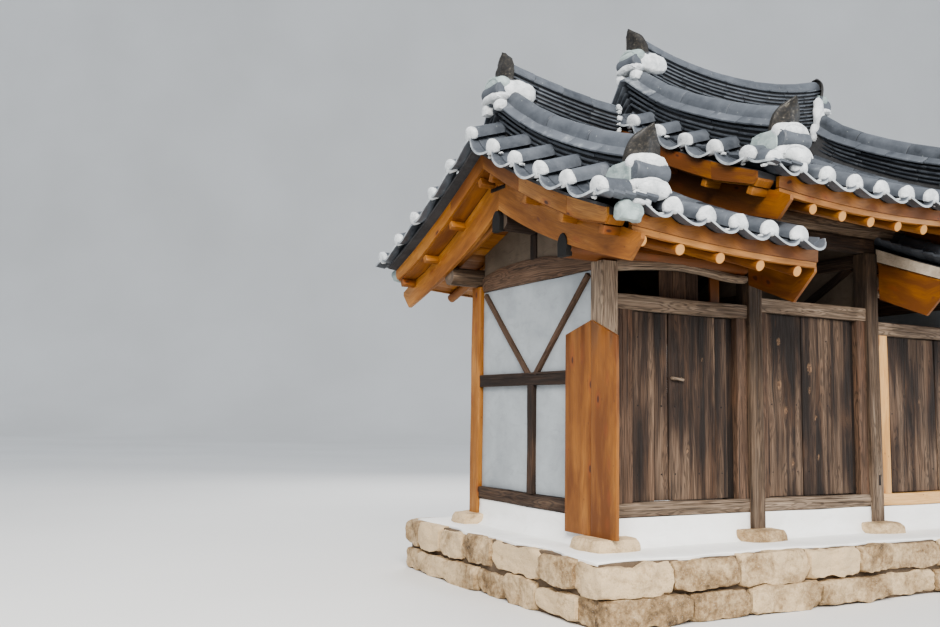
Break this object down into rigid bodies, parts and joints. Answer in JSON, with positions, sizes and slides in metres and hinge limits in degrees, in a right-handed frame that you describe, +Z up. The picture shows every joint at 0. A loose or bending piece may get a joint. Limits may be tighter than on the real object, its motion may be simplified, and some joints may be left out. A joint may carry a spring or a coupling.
{
  "type": "hanok gatehouse",
  "caption": "Timber gatehouse of a hanok compound on a stone platform, with tiled gable roofs, a raised roof over the gate bay and hinged double plank doors in every bay.",
  "frame": {"origin": "on the ground under the middle of the gate bay, halfway from front to rear", "axes": "+X along the front to the right as seen from outside, +Y from the front to the rear, +Z up"},
  "size_m": [6.48, 4.1, 5.5],
  "materials": {
    "old_timber": "weathered grey-brown pine with open grain, cracks and knots",
    "new_timber": "fresh honey-orange oiled pine",
    "plaster": "smooth cool grey-white lime plaster",
    "lime": "bright white trowelled lime, slightly uneven",
    "stone": "rough tan and grey granite",
    "tile": "dark blue-grey fired clay tile, half matt, with white lime at the ends"
  },
  "bodies": {
    "building": {"stone_platform": "stone", "lime_floor": "lime", "corner_post_front_left": "old_timber", "corner_post_front_right": "old_timber", "corner_post_rear_left": "new_timber", "corner_post_rear_right": "new_timber", "gate_post_front_left": "old_timber", "gate_post_front_right": "old_timber", "gate_post_rear_left": "old_timber", "gate_post_rear_right": "old_timber", "door_frame_left": "old_timber", "door_frame_middle": "old_timber", "door_frame_right": "old_timber", "gable_wall_left": "plaster", "gable_wall_right": "plaster", "gable_frame_left": "old_timber", "gable_frame_right": "old_timber", "tie_beam_left": "old_timber", "tie_beam_right": "old_timber", "gable_peak_left": "plaster", "gable_peak_right": "plaster", "rear_wall_left": "plaster", "rear_wall_right": "plaster", "inner_frame_left": "old_timber", "inner_frame_right": "old_timber", "purlin_front_left": "old_timber", "purlin_front_right": "old_timber", "purlin_rear_left": "old_timber", "purlin_rear_right": "old_timber", "ridge_purlin_left": "old_timber", "ridge_purlin_right": "old_timber", "gate_purlin_front": "old_timber", "gate_purlin_rear": "old_timber", "gate_ridge_purlin": "old_timber", "rafters_left": "new_timber", "rafters_right": "new_timber", "rafters_middle": "new_timber", "bargeboards_left": "new_timber", "bargeboards_right": "new_timber", "gate_bargeboards_left": "new_timber", "gate_bargeboards_right": "new_timber", "roof_tiles_left": "tile", "roof_tiles_right": "tile", "roof_tiles_middle": "tile", "ridge_left": "tile", "ridge_right": "tile", "ridge_middle": "tile", "wall_end_board": "new_timber"},
    "door_left_a": {"door_left_a": "old_timber"},
    "door_left_b": {"door_left_b": "old_timber"},
    "door_middle_a": {"door_middle_a": "old_timber"},
    "door_middle_b": {"door_middle_b": "old_timber"},
    "door_right_a": {"door_right_a": "old_timber"},
    "door_right_b": {"door_right_b": "old_timber"}
  },
  "joints": [
    {"name": "door_left_a_hinge", "type": "hinge", "parent": "building", "child": "door_left_a", "pos_m": [-2.166, -1.005, 0.86], "axis": [0, 0, 1], "range_deg": [0, 90]},
    {"name": "door_left_b_hinge", "type": "hinge", "parent": "building", "child": "door_left_b", "pos_m": [-1.124, -1.005, 0.86], "axis": [0, 0, -1], "range_deg": [0, 90]},
    {"name": "door_middle_a_hinge", "type": "hinge", "parent": "building", "child": "door_middle_a", "pos_m": [-0.606, -1.005, 0.86], "axis": [0, 0, 1], "range_deg": [0, 90]},
    {"name": "door_middle_b_hinge", "type": "hinge", "parent": "building", "child": "door_middle_b", "pos_m": [0.506, -1.005, 0.86], "axis": [0, 0, -1], "range_deg": [0, 90]},
    {"name": "door_right_a_hinge", "type": "hinge", "parent": "building", "child": "door_right_a", "pos_m": [1.064, -1.005, 0.86], "axis": [0, 0, 1], "range_deg": [0, 90]},
    {"name": "door_right_b_hinge", "type": "hinge", "parent": "building", "child": "door_right_b", "pos_m": [2.166, -1.005, 0.86], "axis": [0, 0, -1], "range_deg": [0, 90]}
  ]
}
